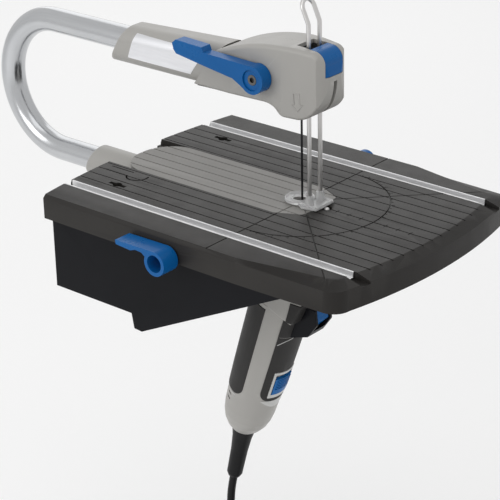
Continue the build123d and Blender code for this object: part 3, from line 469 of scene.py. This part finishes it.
def skinPatch(name, tree, rows, height, body, slot):
    # rows of (angle, along) points; the patch stands proud of the skin and is closed behind
    work = bmesh.new()
    tops, backs = [], []
    for row in rows:
        placed = [onSkin(tree, turn, along) for turn, along in row]
        tops.append([work.verts.new(p + out * height) for p, out in placed])
        backs.append([work.verts.new(p - out * height) for p, out in placed])
    last, end = len(rows) - 1, len(rows[0]) - 1
    for n in range(last):
        for k in range(end):
            work.faces.new((tops[n][k], tops[n + 1][k], tops[n + 1][k + 1], tops[n][k + 1]))
            work.faces.new((backs[n][k], backs[n][k + 1], backs[n + 1][k + 1], backs[n + 1][k]))
        for k, flip in ((0, False), (end, True)):
            ring = (tops[n][k], backs[n][k], backs[n + 1][k], tops[n + 1][k])
            work.faces.new(ring[::-1] if flip else ring)
    for k in range(end):
        work.faces.new((tops[0][k], tops[0][k + 1], backs[0][k + 1], backs[0][k]))
        work.faces.new((tops[last][k], backs[last][k], backs[last][k + 1], tops[last][k + 1]))
    bmesh.ops.recalc_face_normals(work, faces=work.faces)
    piece = addPiece(name, meshFrom(work, name), body, slot)
    roundEdges(piece, height * patch["edge"], patch["turn"])


lineRoundness = 3


def wireLine(name, points, radius, body, slot):  # a thin raised line with closed ends
    curve = threadOf(name, points, radius, lineRoundness, "POLY")
    curve.use_fill_caps = True
    addPiece(name, curve, body, slot)


# a thin crescent in pale silver under the front grip, standing for a highlight: painted highlight
highlightLip = {"top": 119.4, "least": 0.3, "depth": 6.6, "turn": 42, "height": 0.00035, "steps": 24, "rows": 4}


def makeHighlightLip(barrel):  # a raised crescent in pale silver at the lower end of the grip: a painted highlight on its edge
    rows = []
    for n in range(highlightLip["steps"] + 1):
        share = 2 * n / highlightLip["steps"] - 1
        turn = radians(highlightLip["turn"]) * share
        depth = highlightLip["least"] + highlightLip["depth"] * cos(share * pi / 2)
        rows.append([(turn, highlightLip["top"] + depth * k / highlightLip["rows"]) for k in range(highlightLip["rows"] + 1)])
    skinPatch("grip_lip_highlight", barrel, rows, highlightLip["height"], "saw", "bezel_silver")


seam = {"top": 57.0, "fall": 7.5, "turn": 44, "radius": 0.00032, "steps": 20}


def makeSeam():  # a bowed line round the front, where the collar meets the grip
    grip = solidOf("front_grip", "housing_left", "housing_right")
    points = []
    for n in range(-seam["steps"], seam["steps"] + 1):
        share = n / seam["steps"]
        points.append(onSkin(grip, radians(seam["turn"]) * share, seam["top"] + seam["fall"] * share ** 2)[0])
    wireLine("grip_seam", points, seam["radius"], "saw", "bezel_silver")


piping = {"along": 123.4, "from": 98, "to": 262, "radius": 0.0004, "steps": 40}


def makePiping(barrel):  # a line round the back of the barrel
    reach = piping["to"] - piping["from"]
    turns = [piping["from"] + reach * n / piping["steps"] for n in range(piping["steps"] + 1)]
    points = [onSkin(barrel, radians(turn), piping["along"])[0] for turn in turns]
    wireLine("grip_piping", points, piping["radius"], "saw", "bezel_silver")


collar = {"from": 22.0, "to": 58.6, "turn": 47, "steps": 28, "rows": 20, "height": 0.0009}


def makeCollar(barrel):  # the soft skin goes on over the front of the gear case, up to the table
    reach = collar["to"] - collar["from"]
    rows = []
    for n in range(collar["steps"] + 1):
        turn = radians(collar["turn"]) * (2 * n / collar["steps"] - 1)
        rows.append([(turn, collar["from"] + reach * k / collar["rows"]) for k in range(collar["rows"] + 1)])
    skinPatch("front_grip_collar", barrel, rows, collar["height"], "saw", "soft_grip")


housing = solidOf("housing_left", "housing_right")
# the silver crescent is a painted highlight
makeHighlightLip(housing)
makeSeam()
makePiping(housing)
makeCollar(housing)
print("grip trimmed")

arrow = {"shaft": (-9.0, 83.6), "tip": (-10.0, 71.4), "width": 4.4, "head": 8.6,
         "headLength": 4.6, "rim": 0.4, "rayFrom": -60}


def makeArrow():  # a raised outline of an arrow on the head's left face: the way that the blade cuts
    start, tip = Vector(arrow["shaft"]), Vector(arrow["tip"])
    down = (tip - start).normalized()
    side = Vector((-down.y, down.x))
    neck = tip - down * arrow["headLength"]
    outline = [start - side * arrow["width"] / 2, neck - side * arrow["width"] / 2,
               neck - side * arrow["head"] / 2, tip, neck + side * arrow["head"] / 2,
               neck + side * arrow["width"] / 2, start + side * arrow["width"] / 2]
    head = solidOf("head_left")
    right = Vector((1, 0, 0))
    points = [head.ray_cast(about(arrow["rayFrom"], *place), right)[0] for place in outline + outline[:1]]
    wireLine("cut_arrow", points, arrow["rim"] * mm, bodyOf["head_left"], "housing_grey")


makeArrow()
print("arrow raised")
